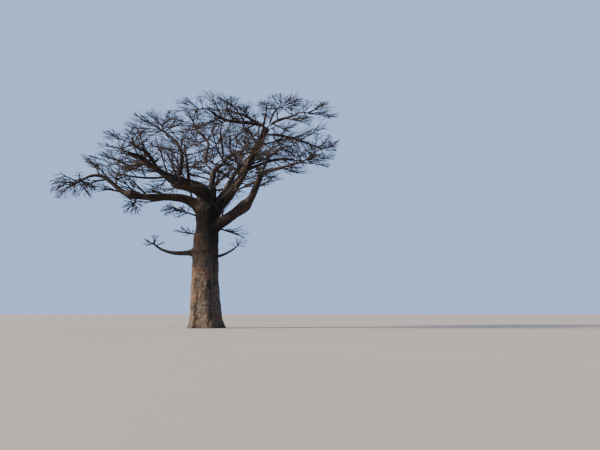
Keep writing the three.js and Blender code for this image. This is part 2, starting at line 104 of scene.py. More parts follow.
# Each bough: its name, what carries it, how far along that it leaves, its heading and climb in
# degrees and its length in metres, how far it arches up and sways left of a straight line at
# each third of the way, and its radius at the root and at the tip.
BOUGHS = [
    ("low_left", "trunk", 0.85, 188, 16, 5.6, (0.9, 0.45), (0, 0), (0.38, 0.21)),
    ("low_left_outer", "low_left", 1, 179, 21, 3.3, (0.05, 0.4), (0, 0), (0.2, 0.11)),
    ("left_mid", "trunk", 0.946, 221, 26, 3.4, (0.75, 0.4), (0, 0), (0.48, 0.44)),
    ("left_mid_outer", "left_mid", 1, 191, 28, 3.7, (0, 0.1), (0, 0), (0.25, 0.09)),
    ("left_mid_low", "left_mid_outer", 0.6, 137, 4, 3, (0, -0.15), (0, 0), (0.15, 0.08)),
    ("left_under", "left_mid_outer", 0.15, 215, -8, 3, (-0.1, -0.1), (0, 0), (0.1, 0.06)),
    ("left_riser", "left_mid_outer", 0.35, 246, 18, 2.7, (0.15, 0.3), (0, 0), (0.13, 0.08)),
    ("left_crest", "left_mid", 0.95, 170, 84, 3.1, (0.35, 0.45), (0, 0), (0.17, 0.1)),
    ("centre", "trunk", 0.946, 75, 63, 3.6, (0, 0), (0, 0), (0.25, 0.2)),
    ("centre_left", "centre", 0.95, 118, 55, 4.6, (0, 0), (0.3, -0.4), (0.13, 0.09)),
    ("centre_low", "centre_left", 0.15, 126, 6, 3.2, (-0.1, 0), (0, 0), (0.1, 0.06)),
    ("centre_right", "centre", 0.97, 294, 7, 4.4, (0.15, 0.25), (0, 0), (0.18, 0.1)),
    ("centre_riser", "centre_right", 0.32, 262, 66, 2.5, (0, 0.1), (0.1, 0), (0.1, 0.06)),
    ("right_main", "trunk", 0.86, 13, 58, 8.7, (-0.45, -0.28), (0, 0), (0.36, 0.26)),
    ("top_left", "right_main", 1, 193, 10, 4.5, (0, -0.3), (0, 0), (0.17, 0.08)),
    ("top_mid", "right_main", 0.99, 160, 32, 2.8, (0.1, 0.1), (0, 0), (0.13, 0.07)),
    ("top_riser", "right_main", 1, 25, 65, 1.7, (0, 0), (0, 0.1), (0.12, 0.07)),
    ("right_upper", "right_main", 0.99, 316, 13, 3, (0.25, 0.1), (0, 0), (0.13, 0.07)),
    ("right_mid", "right_main", 0.93, 18, -3, 3.9, (0.2, 0.15), (0, 0), (0.14, 0.08)),
    ("right_side", "right_main", 0.55, 9, 16, 4, (0.2, 0.3), (0, 0), (0.14, 0.08)),
    ("right_low", "trunk", 0.75, 331, 29, 3.5, (-0.08, -0.12), (0, -0.1), (0.44, 0.35)),
    ("right_low_outer", "right_low", 1, 313, 53, 2.9, (-0.2, -0.1), (0, 0), (0.29, 0.21)),
    ("right_low_side", "right_low_outer", 0.97, 330, 9, 1.7, (0.05, 0), (0, 0), (0.15, 0.1)),
    ("right_low_up", "right_low_outer", 1, 61, 56, 1.7, (0, 0), (0, 0), (0.12, 0.07)),
    ("back_left", "trunk", 0.935, 130, 33, 7.2, (0.55, 0.3), (-0.25, -0.2), (0.28, 0.14)),
    ("back_mid", "trunk", 0.946, 85, 36, 7.5, (0.4, 0.1), (-0.25, 0.1), (0.25, 0.13)),
    ("back_right", "trunk", 0.892, 60, 41, 8.6, (0.15, 0.1), (-0.3, 0.1), (0.3, 0.14)),
    ("front_left", "left_mid", 0.65, 269, 12, 3.5, (0.05, 0.05), (0, 0), (0.14, 0.09)),
    ("front_right", "right_main", 0.3, 277, 2, 4.9, (0.1, 0.05), (0, 0), (0.15, 0.09)),
    ("stub_left", "trunk", 0.59, 194, 2, 3.3, (-0.15, -0.25), (0, 0), (0.23, 0.11)),
    ("stub_right", "trunk", 0.57, 333, 8, 2.3, (-0.3, -0.25), (0, 0), (0.14, 0.07)),
]

# Each mass of twigs: its name, what carries it and how far along, the heading and climb in
# degrees and the distance from there to its middle, how far the space that it keeps to reaches
# from its middle, level and upright, and how much fuller of twigs it is than a plain one.
MASSES = [
    ("left_tip", "low_left_outer", 1, 181, -34, 1.2, 1.8, 1.5, 2.3),
    ("left_upper", "left_mid_outer", 1, 178, 28, 0.6, 1.7, 1.1, 0.7),
    ("left_low", "left_mid_low", 1, 160, 13, 0.7, 2, 1.1, 0.8),
    ("left_under", "left_under", 1, 190, 5, 0.9, 1.5, 0.9, 1),
    ("left_riser", "left_riser", 1, 230, 20, 0.9, 2.2, 1.2, 0.6),
    ("left_crest", "left_crest", 1, 175, 36, 1.3, 2.7, 1.4, 1.7),
    ("centre_left", "centre_left", 1, 150, 60, 1, 2.9, 1.6, 1.2),
    ("centre_low", "centre_low", 1, 115, 35, 1.6, 2.8, 1.6, 1.1),
    ("centre_right", "centre_right", 1, 310, 30, 1.1, 2.7, 1.6, 0.6),
    ("centre_riser", "centre_riser", 1, 280, 55, 0.7, 2.5, 1.4, 0.8),
    ("top_left", "top_left", 1, 182, -2, 1.3, 2.3, 1.1, 0.8),
    ("top_mid", "top_mid", 1, 150, 22, 1.1, 2.5, 1, 1),
    ("top_riser", "top_riser", 1, 10, 35, 0.7, 2.3, 1, 2.2),
    ("right_upper", "right_upper", 1, 338, -6, 1.1, 2.2, 1, 2.4),
    ("right_mid", "right_mid", 1, 15, -16, 1.3, 2, 1.4, 2.3),
    ("right_side", "right_side", 1, 10, 8, 1.4, 2.4, 1.6, 1.2),
    ("right_low_side", "right_low_side", 1, 330, 10, 1.2, 2.3, 1.5, 1),
    ("right_low_up", "right_low_up", 1, 40, 60, 0.9, 2.4, 1.5, 0.6),
    ("back_left", "back_left", 1, 140, 28, 1.8, 3.2, 1.8, 0.8),
    ("back_mid", "back_mid", 1, 100, 30, 1.6, 3.2, 1.8, 0.6),
    ("back_right", "back_right", 1, 50, 28, 1.6, 3.2, 1.8, 0.6),
    ("front_left", "front_left", 1, 262, 35, 1.7, 3, 1.7, 0.8),
    ("front_right", "front_right", 1, 285, 35, 1.8, 3, 1.7, 0.6),
    ("stub_left", "stub_left", 1, 180, 40, 0.6, 0.9, 0.7, 1),
    ("stub_right", "stub_right", 1, 335, 40, 0.5, 0.8, 0.6, 1),
    ("trunk_left", "trunk", 0.85, 197, 14, 1.9, 1.3, 0.8, 7),
    ("trunk_low", "trunk", 0.72, 160, 8, 1.2, 1, 0.6, 5),
    ("low_left_drop", "low_left", 0.93, 240, -60, 0.9, 0.9, 0.9, 8),
]

# How a bough and the stem of a mass are shaped, as in the solids
COLLAR = 0.35  # how far a bough swells at its root, as a share of its radius there
COLLAR_REACH = 1.5  # how far the swelling goes along it, in radii
SIDE_STEM_RADIUS = 0.07  # of a stem that stands on the side of its bough
SIDE_STEM_SINK = 0.6  # where such a stem starts, as a share of the bough's radius
STEM_SHARE = 0.85  # the radius of any other stem, as a share of its bough's tip
STEM_TAPER = 0.35  # the share of its radius that a stem loses on the way

# How the twigs of a mass branch, by the same rule as in the solids
DEAL = (0.7548777, 0.5698403)  # steps that deal any number of points evenly over a square
SPACE_MARGIN = 0.06  # how much nearer its own mass than any other a twig stays
LIMB_MARGIN = 0.03  # how far a twig stays from every bough
FITS_AT = (0.4, 0.7, 1)  # shares of the way where a twig is tested
HIGHEST = 0.95  # the height of the first leader's tip, as a share of the reach upright
HEIGHT_SPAN = 1.5  # and how much lower the lowest one's is
LAST_FORK = 0.97  # how far along the stem the leader leaves that points on from it
FORK_SPAN = 0.3  # and how much sooner one leaves that points square to it
EDGE_REACH = 0.95  # how far out a leader ends at most, as a share of its space's reach
REACH_STEP = 0.1  # how much shorter it is at each try
LEAST_REACH = 0.4  # a leader that has to be shorter than this is left out
FACING_BACK = 0.75  # and so is one that would point back at its bough more than this
LEADER_BOW = 0.15  # how far a leader's middle goes the stem's way, as a share of its length
LEADER_SAG = 0.08  # and how far it sags
FIRST_SIDE = 0.25  # where along its parent the first side twig may leave
SIDE_SPAN = 0.7  # the share of its parent that side twigs leave from
NEAR_LONGER = 1.15  # how much longer a side twig is near its parent's root
FAR_SHORTER = 0.5  # and how much shorter towards its tip
UNEVEN = 0.4  # how uneven the lengths of side twigs are
SHORTER = (1, 0.65, 0.42)  # the lengths that a side twig tries, as shares of the wanted one
MORE_OPEN = 30  # degrees by which the angle between a side twig and its parent may vary
LIFT = 0.1  # how much a side twig turns up at its root
TIP_LIFT = 0.1  # and in its outer half
WANDER = 0.8  # how much it strays in its outer half

# Where the twigs here differ from the solids': they are more, longer and thicker at the root,
# leave at sharper angles, spread flatter and swerve
LEADERS_PER_AREA = 2.4  # main twigs for each square metre of a mass's level times upright reach
FEWEST_LEADERS = 7
SMALL_MASS = 2  # a mass that reaches less far than this has thinner and fewer side twigs
SIDE_LENGTH = 0.68  # a side twig's length, as a share of its parent's
LEAST_OPEN = 27  # degrees between a side twig and its parent, at least
FLATNESS = 0.35  # how much of a side twig's turn out of its parent's level plane is kept
LEVELLING = (1, 1, 0.75)  # how much of its way in each direction it keeps
LEADER_SHARE = 0.7  # a leader's radius at its root, as a share of the stem's there
LEADER_RADIUS = 0.032  # the least that it has at its root
ROOT_SHARE = 0.6  # a side twig's radius at its root, as a share of its parent's there
TWIG_TAPER = 0.5  # the power of the rest of the way that a twig's radius follows
SWERVE = 0.22  # how far a twig swings from an even curve at each third, as a share of its length
BOX_MARGIN = 0.08  # how far a twig may leave the box of the solids
LEADER_TUBE = Record(sides=5, rings=8)

# Side twigs: how many each twig carries at each level, the least radius that they have at the
# root, and the sides and rings of their tubes
LEVELS = [
    Record(count=9, radius=0.021, sides=4, rings=5),
    Record(count=3, radius=0.012, sides=3, rings=3),
]

# Masses whose twigs hang
HANGING = ("left_tip", "low_left_drop", "trunk_left")
HANGING_HIGHEST = 0.6  # the height of their first leader's tip, as a share of the reach upright
HANGING_SAG = -0.12  # below 0, because their leaders arch over
HANGING_LIFT = -0.5  # added to how much their side twigs turn up

# Side limbs, which grow along the boughs between the masses
SIDE_LIMBS_PER_METRE = 3.5
SIDE_LIMB_FIRST = 0.2  # where along its bough the first one may leave
SIDE_LIMB_SPAN = 0.78  # the share of the bough that they leave from
SIDE_LIMB_SPACING = 0.95  # how near the middles of two may be in the outer crown
INNER_SPACING = 2.6  # and right at the fork
INNER_REACH = 7.5  # how far from the fork the outer crown begins
SIDE_LIMB_LENGTH = 3.4  # of a full one, but at most this share of its bough's length:
SIDE_LIMB_LENGTH_SHARE = 0.65
SIDE_LIMB_SHORTEST = 0.6  # the least length that is drawn, as a share of a full one
SIDE_LIMB_UNEVEN = 0.6  # and how much may be added to it
SIDE_LIMB_FAR_SHORTER = 0.4  # how much shorter they are towards the bough's tip
SIDE_LIMB_OPEN = 38  # degrees between a side limb and its bough, at least
SIDE_LIMB_RADIUS = 0.08  # at the root, at most
SIDE_LIMB_SHARE = 0.5  # its radius at the root, as a share of the bough's there, at most
SIDE_LIMB_LIFT = 0.15  # how much a side limb turns up
CROWN_EDGE = 0.3  # how full of spaces and boughs the crown is where they end
BOUGH_REACH = 1.9  # how far from a bough the crown thins out
BOUGH_WEIGHT = 0.6  # how much being near a bough counts against being in a space
BARE_SHARE = 0.4  # of the way along a bough, before the crown begins
BELOW_CROWN = ("trunk", "stub_left", "stub_right")  # limbs with no side limbs
SIDE_LIMB_TUBE = Record(sides=6, rings=9)
SIDE_LIMB_LEVELS = [
    Record(count=10, radius=0.022, sides=4, rings=5),
    Record(count=3, radius=0.013, sides=3, rings=3),
]

# What a twig's draws are for, and the numbers that the keys of masses and side limbs start from
TURN_DRAW = 0
OPEN_DRAW = 1
WANDER_DRAWS = (2, 3, 4)
LENGTH_DRAW = 5
SWING_DRAWS = ((6, 7, 8), (9, 10, 11))
THINNING_DRAW = 12
MASS_KEY = 1
SIDE_LIMB_KEY = 7

# Odd numbers that mix the bits of keys of 32 bits
PURPOSE_MIXER = 0x9E3779B1
FIRST_MIXER = 0x85EBCA6B
SECOND_MIXER = 0xC2B2AE35
INDEX_MIXER = 0x27D4EB2F
CHILD_MIXER = 0x165667B1
CELL_MIXERS = (73856093, 19349663, 83492791)
WORD = np.uint64(0xFFFFFFFF)  # all 32 bits of a key

# The pieces that the twigs are joined in, by how a mass's or a bough's name starts. Any other
# name goes with the first.
PIECES = ("left", "centre", "top", "right", "back", "front")

# The meshes of the bark, and of the stems: their tubes' sides, and how far apart the rings are
THICK = 0.2  # boughs with at least this radius at the root are fused with the trunk
THICK_TUBE = Record(sides=32, step=0.12)
THIN_TUBE = Record(sides=14, step=0.07)
STEM_TUBE = Record(sides=8, step=0.15)
VOXEL = 0.046  # the size of the fused skin's faces
SMOOTHING = 5  # rounds after the limbs are fused, each by this share:
SMOOTHING_SHARE = 0.5
STEEP = 0.9  # a curve that starts steeper than this has its rings set out from the X axis

# The bark's relief: grooves along a limb, wrinkles across it, and lumps and pits anywhere. The
# widths, lengths and sizes are those of the noise's cells. Grooves are wider on broader limbs,
# and there is a pit wherever the noise is more than its least value.
FILLET = 0.16  # how softly the fused limbs run into each other
FULL_RADIUS = 0.6  # a limb as thick as this has all of the relief, and a thinner one less
GROOVES = Record(width=0.25, wider=0.3, length=2.2, sharpness=4, depth=0.045, seed=3)
WRINKLES = Record(width=0.9, length=0.16, height=0.007, seed=11)
LUMPS = Record(size=0.55, layers=3, height=0.035, seed=21)
PITS = Record(size=0.17, least=0.45, depth=0.05, seed=31)
GROOVE_CREASE = 0.8  # how much of a crease a groove is
PIT_CREASE = 2  # and a pit
LIMB_SHIFT = 10  # how far apart the patterns of two limbs lie in the noise
RELIEF_REACH = 1  # how far off a limb still counts
FAR = 9.0  # the distance given to points farther off

# The bark's colours. DARK is also the painted shade's colour, and PALE the painted light's.
GREY = (0.09, 0.067, 0.05, 1)
COPPER = (0.14, 0.07, 0.038, 1)
PALE = (0.21, 0.16, 0.115, 1)
DARK = (0.011, 0.009, 0.007, 1)
BARK_ROUGHNESS = 0.9
STREAK_SCALE = 0.3  # how much the streaks are squeezed upright, which stretches them
FORK_SHADOW_MIDDLE = (0.75, -0.4, 8.8)  # the middle of the painted shadow in and under the fork

# Patches over the grey, each over the ones before it: the colour, whether they are streaks, the
# noise's scale and detail, from what value of it to what they come in, and how strong they get
PATCHES = [
    (COPPER, False, 0.9, 3, 0.45, 0.62, 1),
    (PALE, False, 5.5, 2, 0.5, 0.66, 0.8),
    (DARK, True, 3.4, 4, 0.48, 0.64, 0.8),
    (DARK, False, 11, 3, 0.42, 0.62, 0.6),
]

# Painted shade and painted light: between which two values of a measure they change, and how
# strong they are at the first and at the second
PAINTED_CREASE_SHADE = (0.3, 1, 0, 0.7)  # painted shade in the creases, by their depth
PAINTED_CROWN_SHADE = (3, 11.5, 0, 0.8)  # painted shade of the crown, darker higher up, by the height above the ground
ROUND_FORK_SHADOW = (0.8, 1.7, 0.95, 0)  # painted shadow round the fork, by the distance from its middle
PAINTED_TOP_LIGHT = (0.5, 1, 0, 0.3)  # painted light on bark that faces up, by how far it faces up

# The grain that the material adds to the relief, coarse and then fine: whether it is streaks,
# the noise's scale, detail and roughness, and how deep it is
GRAINS = [
    (True, 7, 5, 0.6, 0.05),
    (False, 26, 6, 0.65, 0.015),
]
GRAIN_STRENGTH = 0.5

# The other materials
GLOSS = 0.25  # the specular level of every material
TWIG_COLOUR = (0.035, 0.023, 0.018, 1)
TWIG_ROUGHNESS = 0.85
FLOOR_COLOURS = ((0.27, 0.235, 0.195, 1), (0.285, 0.249, 0.208, 1))
FLOOR_PATCH_SCALE = 0.15
FLOOR_PATCH_RANGE = (0.3, 0.7)
FLOOR_ROUGHNESS = 0.95

UP = np.array([0.0, 0.0, 1.0])
LOWEST = np.array(CAD_BOX[0]) - BOX_MARGIN
FURTHEST = np.array(CAD_BOX[1]) + BOX_MARGIN


# Curves


def bezier(controls, share):
    """Points on Bezier curves of any order, at one share of the way or at several."""
    order = len(controls) - 1
    share = np.asarray(share, float)[..., None]
    return sum(
        math.comb(order, i) * share**i * (1 - share) ** (order - i) * controls[i]
        for i in range(order + 1)
    )


def unit(vectors):
    return vectors / np.maximum(np.linalg.norm(vectors, axis=-1, keepdims=True), 1e-9)


def tangents(controls, share):
    return unit(bezier(np.diff(controls, axis=0), share))


def towards(heading, climb):
    """A way through space from a heading and a climb in degrees."""
    turn, lift = math.radians(heading), math.radians(climb)
    level = math.cos(lift)
    return np.array([level * math.cos(turn), level * math.sin(turn), math.sin(lift)])


def smoothstep(value, low, high):
    part = np.clip((value - low) / (high - low), 0, 1)
    return part * part * (3 - 2 * part)


# Draws and noise


def dealt(index):
    """The place of the twig with this index among its fellows: two shares, each from 0 to 1."""
    return [(0.5 + index * step) % 1 for step in DEAL]


def times(a, b):
    return (np.asarray(a, np.uint64) * np.uint64(b)) & WORD


def draw(key, purpose):
    """A draw between 0 and 1 that is always the same for the same twig and purpose."""
    mixed = times(key ^ times(purpose + 1, PURPOSE_MIXER), FIRST_MIXER)
    mixed = times(mixed ^ (mixed >> np.uint64(13)), SECOND_MIXER)
    return (mixed ^ (mixed >> np.uint64(16))) / 2**32


def draw_offsets(key, purposes):
    """Three draws for each twig as a vector, with each part between -1/2 and 1/2."""
    return np.column_stack([draw(key, purpose) for purpose in purposes]) - 0.5


def child_key(key, index):
    """The key that the draws of a twig's own side twig start from."""
    mixed = times(key ^ times(index + 1, INDEX_MIXER), CHILD_MIXER)
    return mixed ^ (mixed >> np.uint64(15))


def noise(points, seed):
    """Smooth noise between -1 and 1, with a cell of one unit."""
    cell = np.floor(points)
    part = smoothstep(points - cell, 0, 1)
    cell = cell.astype(np.int64)
    total = np.zeros(len(points))
    for corner in range(8):
        step = np.array([corner & 1, corner >> 1 & 1, corner >> 2])
        mixed = (cell + step) * CELL_MIXERS
        key = (mixed[:, 0] ^ mixed[:, 1] ^ mixed[:, 2]).astype(np.uint64) & WORD
        weight = np.prod(np.where(step, part, 1 - part), axis=1)
        total += weight * draw(key, seed)
    return 2 * total - 1


def layered(points, layers, seed):
    """Noise with finer and fainter noise added to it."""
    return sum(noise(points * 2**i, seed + i) / 2**i for i in range(layers))


# Limbs


def trunk_radius(share):
    """The trunk's radius at a share of its height, without its folds."""
    share = np.asarray(share, float)
    height = share * TRUNK_HEIGHT
    flare = FLARE * np.exp(-height / FLARE_HEIGHT)
    taper = (FOOT_RADIUS - MIDDLE_RADIUS) * np.minimum(1, share / MIDDLE_SHARE) ** TAPER_POWER
    neck = (MIDDLE_RADIUS - NECK_RADIUS) * smoothstep(share, *NECK_SHARES)
    swell = (FORK_RADIUS - NECK_RADIUS) * smoothstep(share, *FORK_SHARES)
    dome = np.maximum(0, (share - DOME_SHARE) / (1 - DOME_SHARE))
    closing = np.sqrt(1 - DOME_CLOSING * dome**2)
    return (FOOT_RADIUS - taper - neck + swell + flare) * closing


def bough_radius(length, root, tip):
    """A bough's radius as a function of the share of its length."""
    def at(share):
        share = np.asarray(share, float)
        collar = COLLAR * root * np.exp(-share * length / (COLLAR_REACH * root))
        return root + (tip - root) * share + collar
    return at


def make_limbs():
    """The trunk and every bough: a curve, and the radius along it."""
    bow = (-TRUNK_BOW, TRUNK_BOW / 3, TRUNK_HEIGHT / 2)
    axis = np.array([(0, 0, 0), bow, (0, 0, TRUNK_HEIGHT)])
    limbs = {"trunk": Record(
        name="trunk", controls=axis, length=TRUNK_HEIGHT, radius=trunk_radius, root=FOOT_RADIUS,
    )}
    for name, carrier, at, heading, climb, length, arch, sway, (root, tip) in BOUGHS:
        start = bezier(limbs[carrier].controls, at)
        way = towards(heading, climb)
        over = towards(heading, climb + 90)
        left = towards(heading + 90, 0)
        controls = [start]
        # Handles with these strengths lead the curve through its arch and sway at each third.
        for third in (0, 1):
            handle = start + way * length * (third + 1) / 3
            handle += over * (3 * arch[third] - 1.5 * arch[1 - third])
            controls.append(handle + left * (3 * sway[third] - 1.5 * sway[1 - third]))
        controls.append(start + way * length)
        limbs[name] = Record(
            name=name, controls=np.array(controls), length=length,
            radius=bough_radius(length, root, tip), root=root,
        )
    return limbs


LIMBS = make_limbs()


def make_stretches(parts=10):
    """Every limb as short straight stretches: starts, ends, radii, and which lie in the crown."""
    stretches = []
    middles = (np.arange(parts) + 0.5) / parts
    for limb in LIMBS.values():
        points = bezier(limb.controls, np.arange(parts + 1) / parts)
        leafy = (middles > BARE_SHARE) & (limb.name not in BELOW_CROWN)
        stretches.append((points[:-1], points[1:], limb.radius(middles), leafy))
    return [np.concatenate(group) for group in zip(*stretches)]


STRETCH_STARTS, STRETCH_ENDS, STRETCH_RADII, STRETCH_IN_CROWN = make_stretches()


def gap_to_stretches(points, mask=slice(None), batch=4000):
    """How far each point is from the surface of the nearest stretch, or of those in a mask."""
    starts, radii = STRETCH_STARTS[mask], STRETCH_RADII[mask]
    way = STRETCH_ENDS[mask] - starts
    square = np.sum(way**2, axis=1)
    nearest = np.empty(len(points))
    for first in range(0, len(points), batch):
        some = points[first:first + batch]
        offset = some[:, None] - starts[None]
        share = np.clip(np.einsum("psk,sk->ps", offset, way) / square, 0, 1)
        gap = np.linalg.norm(offset - share[..., None] * way[None], axis=2) - radii
        nearest[first:first + batch] = gap.min(axis=1)
    return nearest


# Spaces


def make_spaces():
    """The space of each mass, with its place on its bough."""
    spaces = []
    for name, carrier, at, heading, climb, out, level, upright, fullness in MASSES:
        limb = LIMBS[carrier]
        way = towards(heading, climb)
        root = bezier(limb.controls, at)
        if at < 1:
            root = root + way * SIDE_STEM_SINK * limb.radius(at)
        spaces.append(Record(
            name=name, limb=limb, at=at, way=way, root=root, out=out, middle=root + way * out,
            reach=np.array([level, level, upright], float), fullness=fullness,
        ))
    return spaces


SPACES = make_spaces()
MIDDLES = np.array([space.middle for space in SPACES])
REACHES = np.array([space.reach for space in SPACES])
HANGS = np.array([space.name in HANGING for space in SPACES])
THINNESS = np.minimum(1, REACHES[:, 0] / SMALL_MASS)


def from_middles(points):
    """How far each point is from each mass's middle, where 1 is the edge of that mass's space."""
    return np.linalg.norm((points[:, None] - MIDDLES) / REACHES, axis=2)


def in_space(points, home):
    """Which points lie in their own mass's space, and clearly nearer to it than to any other."""
    far = from_middles(points)
    rows = np.arange(len(points))
    own = far[rows, home]
    far[rows, home] = np.inf
    return (own <= 1) & (far.min(axis=1) > own + SPACE_MARGIN)


def in_crown(points):
    """Which points lie in a mass's space, just outside it, between several, or near a bough."""
    near = np.exp(-(gap_to_stretches(points, STRETCH_IN_CROWN) / BOUGH_REACH)**2)
    return np.exp(-from_middles(points)**2).sum(axis=1) + BOUGH_WEIGHT * near > CROWN_EDGE


# Twigs

TWIG_VALUES = ("length", "radius", "key", "home")  # what each has besides its curve


def make_twigs(base, bend, tip, radius, key, home):
    """Twigs as arrays: each a swerving curve that tapers to a point from its root's radius."""
    length = np.linalg.norm(tip - base, axis=1)
    swing = [SWERVE * length[:, None] * draw_offsets(key, purposes) for purposes in SWING_DRAWS]
    first = (base + 2 * bend) / 3 + swing[0]
    second = (tip + 2 * bend) / 3 + swing[1]
    controls = np.array([base, first, second, tip])
    return Record(controls=controls, length=length, radius=radius, key=key, home=home)


def chosen(twigs, mask):
    rest = {name: getattr(twigs, name)[mask] for name in TWIG_VALUES}
    return Record(controls=twigs.controls[:, mask], **rest)


def together(groups):
    """Groups of twigs as one."""
    rest = {
        name: np.concatenate([getattr(group, name) for group in groups]) for name in TWIG_VALUES
    }
    controls = np.concatenate([group.controls for group in groups], axis=1)
    return Record(controls=controls, **rest)


def fitting(twigs, in_masses=True):
    """Which twigs keep to their space, or to the crown, and clear of the limbs."""
    fits = np.ones(len(twigs.radius), bool)
    for share in FITS_AT:
        points = bezier(twigs.controls, share)
        fits &= np.all((points > LOWEST) & (points < FURTHEST), axis=1)
        fits &= in_space(points, twigs.home) if in_masses else in_crown(points)
        left = np.flatnonzero(fits)
        fits[left] = gap_to_stretches(points[left]) > twigs.radius[left] + LIMB_MARGIN
    return fits


def stem_of(space):
    """The stem of a mass goes on from its bough, or stands on its side, to the mass's middle."""
    if space.at < 1:
        start, radius = space.way, SIDE_STEM_RADIUS
    else:
        start = tangents(space.limb.controls, 1)
        radius = STEM_SHARE * space.limb.radius(1)
    base = space.root - start * radius
    bend = space.root + start * 0.5 * space.out
    return Record(
        controls=np.array([base, bend, space.middle]), length=space.out, start=start,
        radius=lambda share: radius * (1 - STEM_TAPER * share),
    )


def leaders_of(space, stem, index):
    """The leaders of a mass spread to points dealt evenly over the edge of its space."""
    key = child_key(np.uint64(MASS_KEY), index)
    highest, sag = (HANGING_HIGHEST, HANGING_SAG) if HANGS[index] else (HIGHEST, LEADER_SAG)
    area = space.reach[0] * space.reach[2] * space.fullness
    count = max(FEWEST_LEADERS, round(LEADERS_PER_AREA * area))
    least = LEADER_RADIUS * THINNESS[index]
    back = unit((space.root - space.middle) / space.reach)
    leaders = []
    for i in range(count):
        up, around = dealt(i)
        height = highest - HEIGHT_SPAN * up
        turn = 2 * math.pi * (around + draw(key, TURN_DRAW))
        level = math.sqrt(1 - height**2)
        way = np.array([math.cos(turn) * level, math.sin(turn) * level, height])
        facing = way @ back
        if facing > FACING_BACK:
            continue
        share = LAST_FORK - FORK_SPAN * (1 + facing)
        base = bezier(stem.controls, share)
        radius = max(least, LEADER_SHARE * stem.radius(share))
        for reach in np.arange(EDGE_REACH, LEAST_REACH, -REACH_STEP):
            tip = space.middle + way * space.reach * reach
            length = np.linalg.norm(tip - base)
            bend = (base + tip) / 2 + (stem.start * LEADER_BOW - UP * sag) * length
            values = (base, bend, tip, radius, child_key(key, i), index)
            leader = make_twigs(*[np.array([value]) for value in values])
            if fitting(leader)[0]:
                leaders.append(leader)
                break
    return leaders


def opened(tangent, around, key, least, flatness=1):
    """Ways that open from tangents by least degrees or more, at shares of a turn round them."""
    turn = 2 * math.pi * around[:, None]
    open_by = np.radians(least + MORE_OPEN * draw(key, OPEN_DRAW))[:, None]
    side = unit(np.cross(tangent, UP))
    over = np.cross(side, tangent)
    way = tangent * np.cos(open_by) + side * np.cos(turn) * np.sin(open_by)
    return way + over * flatness * np.sin(turn) * np.sin(open_by)


def strayed(way, key, lift):
    """The way that twigs go in their outer half, drawn around the way that they start."""
    return unit(way + WANDER * draw_offsets(key, WANDER_DRAWS) + UP * lift)


def tried_shorter(wanted, left, in_masses):
    """Those of the wanted twigs that are left, each tried shorter until it fits.

    Each bends onward halfway, and what is sunk into its parent comes on top of its length."""
    grown = []
    for part in SHORTER:
        base = wanted.base[left]
        length = (part * wanted.length + wanted.sunk)[left, None]
        bend = base + wanted.way[left] * 0.5 * length
        tip = bend + wanted.onward[left] * 0.5 * length
        tried = make_twigs(
            base, bend, tip, wanted.radius[left], wanted.key[left], wanted.home[left],
        )
        fits = fitting(tried, in_masses)
        grown.append(chosen(tried, fits))
        left = left[~fits]
    return grown


def side_twigs(parents, level, in_masses):
    """The side twigs of twigs are dealt evenly along them and round them."""
    thinness = THINNESS[parents.home] if in_masses else 1
    hanging = HANGING_LIFT * HANGS[parents.home, None] if in_masses else 0
    grown = []
    for i in range(level.count):
        onwards, around = dealt(i)
        share = FIRST_SIDE + SIDE_SPAN * onwards
        key = child_key(parents.key, i)
        tangent = tangents(parents.controls, share)
        around = around + draw(parents.key, TURN_DRAW)
        way = opened(tangent, around, key, LEAST_OPEN, FLATNESS)
        way = unit((way + UP * (LIFT + hanging)) * LEVELLING)
        even = SIDE_LENGTH * parents.length * (NEAR_LONGER - FAR_SHORTER * share)
        radius = ROOT_SHARE * (parents.radius * (1 - share) ** TWIG_TAPER)
        wanted = Record(
            base=bezier(parents.controls, share), way=way,
            onward=strayed(way, key, TIP_LIFT + hanging),
            length=even * (1 + UNEVEN * (draw(key, LENGTH_DRAW) - 0.5)), sunk=0,
            radius=np.maximum(level.radius * thinness, radius), key=key, home=parents.home,
        )
        left = np.flatnonzero(draw(key, THINNING_DRAW) <= thinness)
        grown += tried_shorter(wanted, left, in_masses)
    return together(grown)


def side_limbs_of(limb, index):
    """The side limbs along a bough, dealt evenly along it and round it."""
    number = np.arange(round(limb.length * SIDE_LIMBS_PER_METRE))
    key = child_key(np.uint64(SIDE_LIMB_KEY + index), number)
    onwards, around = np.array(dealt(number))
    share = SIDE_LIMB_FIRST + SIDE_LIMB_SPAN * onwards
    tangent = tangents(limb.controls[:, None], share)
    way = unit(opened(tangent, around, key, SIDE_LIMB_OPEN) + UP * SIDE_LIMB_LIFT)
    thickness = limb.radius(share)
    longest = min(SIDE_LIMB_LENGTH, SIDE_LIMB_LENGTH_SHARE * limb.length)
    length = longest * (SIDE_LIMB_SHORTEST + SIDE_LIMB_UNEVEN * draw(key, LENGTH_DRAW))
    wanted = Record(
        base=bezier(limb.controls[:, None], share), way=way, onward=strayed(way, key, TIP_LIFT),
        length=length * (NEAR_LONGER - SIDE_LIMB_FAR_SHORTER * share), sunk=thickness,
        radius=np.minimum(SIDE_LIMB_RADIUS, SIDE_LIMB_SHARE * thickness), key=key,
        home=np.full(len(number), index),
    )
    return tried_shorter(wanted, number, in_masses=False)


def spaced(side_limbs):
    """Which of the side limbs have room: those before them leave their middles clear."""
    middles = bezier(side_limbs.controls, 0.5)
    from_fork = np.linalg.norm(middles - UP * TRUNK_HEIGHT, axis=1)
    outwards = np.minimum(1, from_fork / INNER_REACH)
    spacing = INNER_SPACING + (SIDE_LIMB_SPACING - INNER_SPACING) * outwards
    kept = np.zeros(len(middles), bool)
    for i, middle in enumerate(middles):
        kept[i] = np.all(np.linalg.norm(middles[kept] - middle, axis=1) > spacing[i])
    return kept


# Meshes


